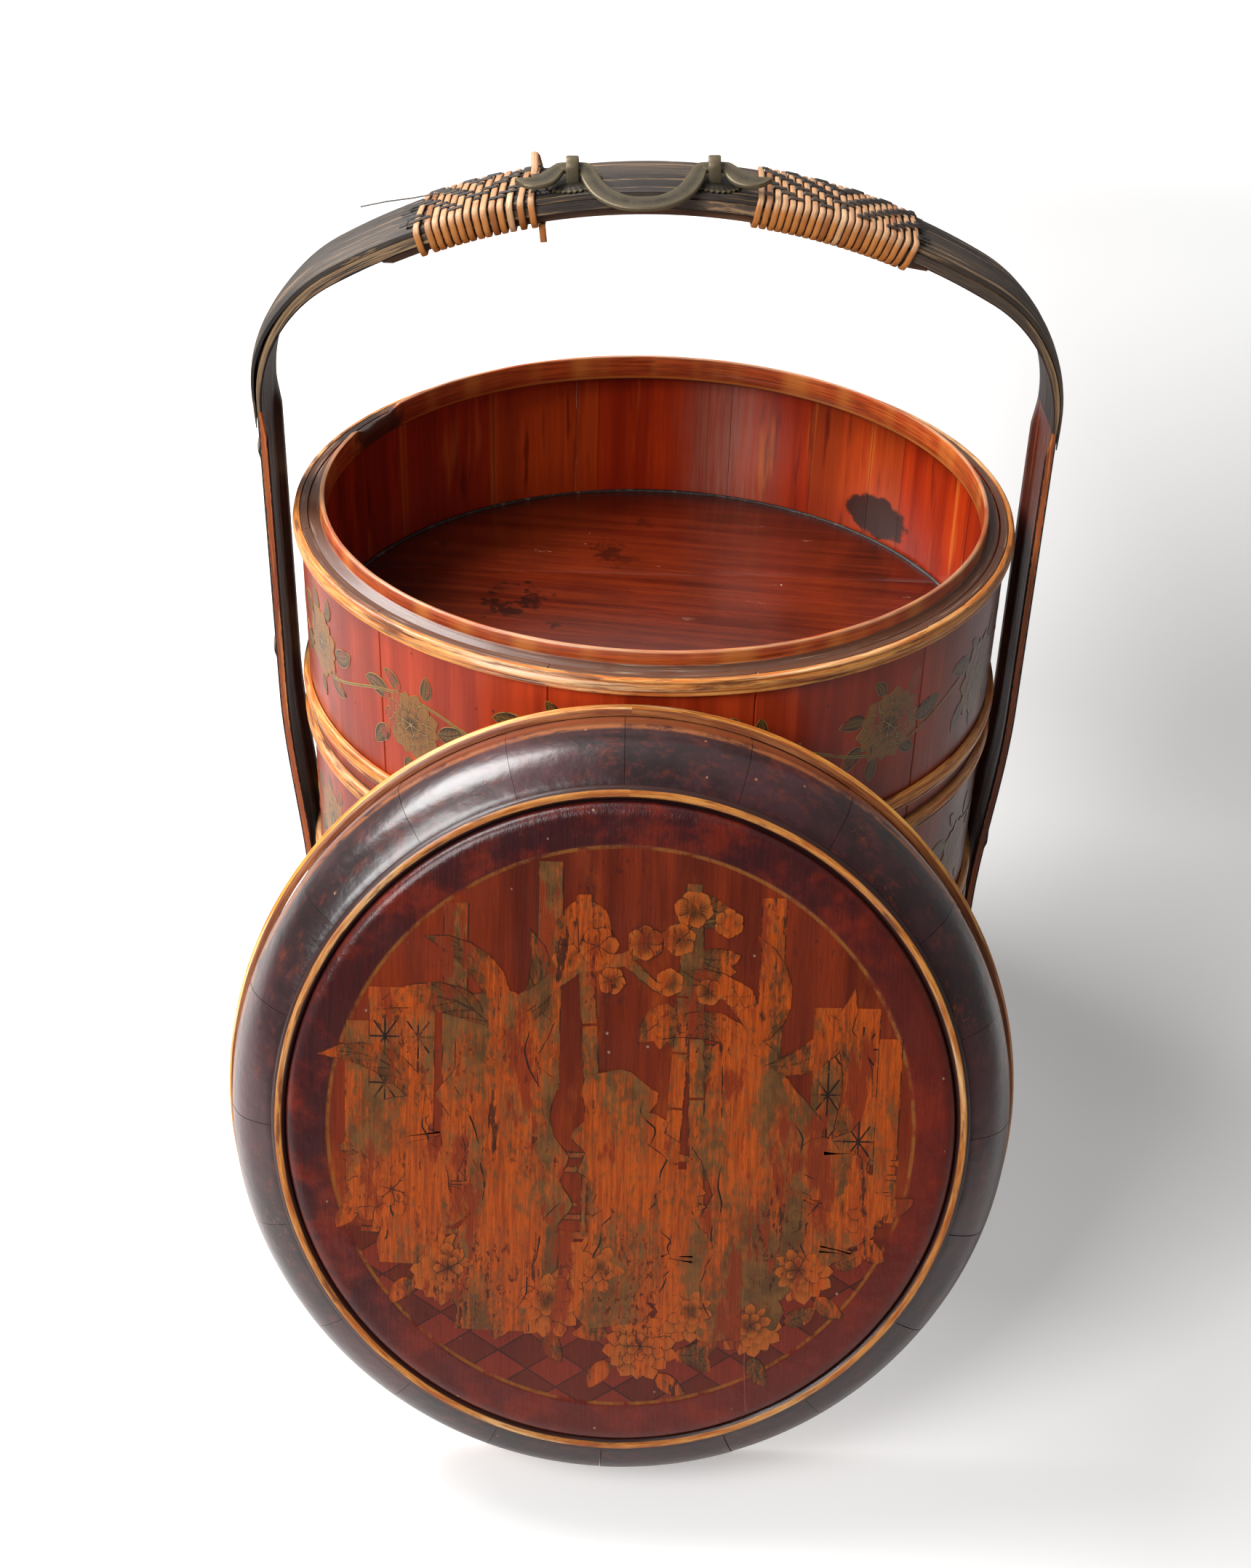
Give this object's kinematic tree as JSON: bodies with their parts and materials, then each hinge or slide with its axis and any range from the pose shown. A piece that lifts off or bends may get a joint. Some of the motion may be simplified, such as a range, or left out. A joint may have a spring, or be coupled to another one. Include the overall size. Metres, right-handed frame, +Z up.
{
  "type": "tiered carrying box",
  "caption": "Round tiered carrying box of coopered lacquered staves with bamboo hoops, an arched bamboo handle with cane windings and a small bail, its domed lid off and leaning in front",
  "frame": {"origin": "on the floor, in the middle of the footprint of the carrier with its lid leaning in front", "axes": "+Z up, the open lid in front towards -Y, the handle's arch along X"},
  "size_m": [0.419, 0.5666, 0.548],
  "materials": {
    "red_lacquer": "worn gloss lacquer",
    "inner_lacquer": "worn gloss lacquer",
    "dark_lacquer": "gloss lacquer",
    "bamboo_hoop": "worn satin",
    "black_bamboo": "worn satin lacquer",
    "cane": "satin",
    "forged_metal": "dark patina"
  },
  "bodies": {
    "carrier": {"lower_stave_1": "red_lacquer", "lower_stave_2": "red_lacquer", "lower_stave_3": "red_lacquer", "lower_stave_4": "red_lacquer", "lower_stave_5": "red_lacquer", "lower_stave_6": "red_lacquer", "lower_stave_7": "red_lacquer", "lower_stave_8": "red_lacquer", "lower_floor": "inner_lacquer", "lower_collar": "inner_lacquer", "lower_top_hoop": "bamboo_hoop", "lower_low_hoop": "bamboo_hoop", "handle_culm": "black_bamboo", "handle_strip": "black_bamboo", "grip_lath": "bamboo_hoop", "peg_left": "bamboo_hoop", "peg_right": "bamboo_hoop", "cane_left": "cane", "cane_right": "cane", "eye_left": "forged_metal", "eye_right": "forged_metal", "plate_left": "forged_metal", "plate_right": "forged_metal"},
    "middle_tier": {"middle_stave_1": "red_lacquer", "middle_stave_2": "red_lacquer", "middle_stave_3": "red_lacquer", "middle_stave_4": "red_lacquer", "middle_stave_5": "red_lacquer", "middle_stave_6": "red_lacquer", "middle_stave_7": "red_lacquer", "middle_stave_8": "red_lacquer", "middle_stave_9": "red_lacquer", "middle_stave_10": "red_lacquer", "middle_stave_11": "red_lacquer", "middle_stave_12": "red_lacquer", "middle_floor": "inner_lacquer", "middle_collar": "inner_lacquer", "middle_top_hoop": "bamboo_hoop", "middle_low_hoop": "bamboo_hoop"},
    "upper_tier": {"upper_stave_1": "red_lacquer", "upper_stave_2": "red_lacquer", "upper_stave_3": "red_lacquer", "upper_stave_4": "red_lacquer", "upper_stave_5": "red_lacquer", "upper_stave_6": "red_lacquer", "upper_stave_7": "red_lacquer", "upper_stave_8": "red_lacquer", "upper_stave_9": "red_lacquer", "upper_stave_10": "red_lacquer", "upper_stave_11": "red_lacquer", "upper_stave_12": "red_lacquer", "upper_floor": "inner_lacquer", "upper_collar": "inner_lacquer", "upper_top_hoop": "bamboo_hoop", "upper_low_hoop": "bamboo_hoop"},
    "lid": {"lid_ring": "dark_lacquer", "lid_hoop": "bamboo_hoop", "lid_bead": "bamboo_hoop", "lid_panel": "red_lacquer"},
    "bail_loop": {"bail": "forged_metal"}
  },
  "joints": [
    {"name": "middle_tier_lift", "type": "slide", "parent": "carrier", "child": "middle_tier", "axis": [0, 0, 1], "range_m": [0, 0.03]},
    {"name": "upper_tier_lift", "type": "slide", "parent": "middle_tier", "child": "upper_tier", "axis": [0, 0, 1], "range_m": [0, 0.03]},
    {"name": "lid_take_off", "type": "slide", "parent": "carrier", "child": "lid", "axis": [0, -0.9215, 0.3883], "range_m": [0, 0.15]},
    {"name": "bail_swing", "type": "hinge", "parent": "carrier", "child": "bail_loop", "pos_m": [-0.01066, 0.08294, 0.54104], "axis": [-0.9995, 0, -0.0309], "range_deg": [0, 150]}
  ]
}
